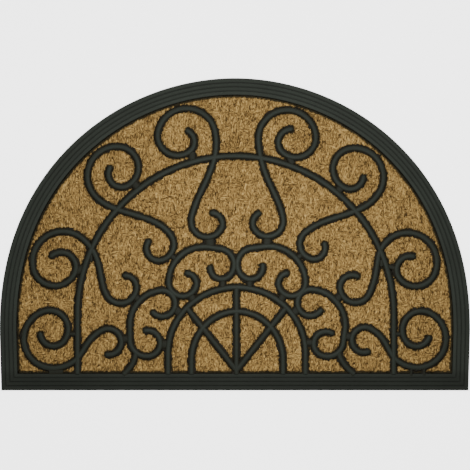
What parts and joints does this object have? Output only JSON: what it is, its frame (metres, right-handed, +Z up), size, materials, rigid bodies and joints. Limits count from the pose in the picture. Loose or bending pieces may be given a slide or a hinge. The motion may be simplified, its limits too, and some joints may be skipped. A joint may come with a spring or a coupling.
{
  "type": "half-round doormat",
  "caption": "Half-round coir doormat with a ribbed rubber border and raised rubber scroll tracery over the woven coir",
  "frame": {"origin": "on the floor, under the middle of the mat's bounding box", "axes": "+X along the straight front edge to the right, +Y from the straight front edge to the round back, +Z up"},
  "size_m": [0.75, 0.498, 0.0112],
  "materials": {
    "base_rubber": "matt black moulded rubber",
    "coir_weave": "coarse woven coir",
    "tracery_rubber": "matt black moulded rubber, crowns slightly worn"
  },
  "bodies": {
    "root": {"rubber_base": "base_rubber", "coir_panel": "coir_weave", "scroll_tracery": "tracery_rubber"}
  },
  "joints": []
}
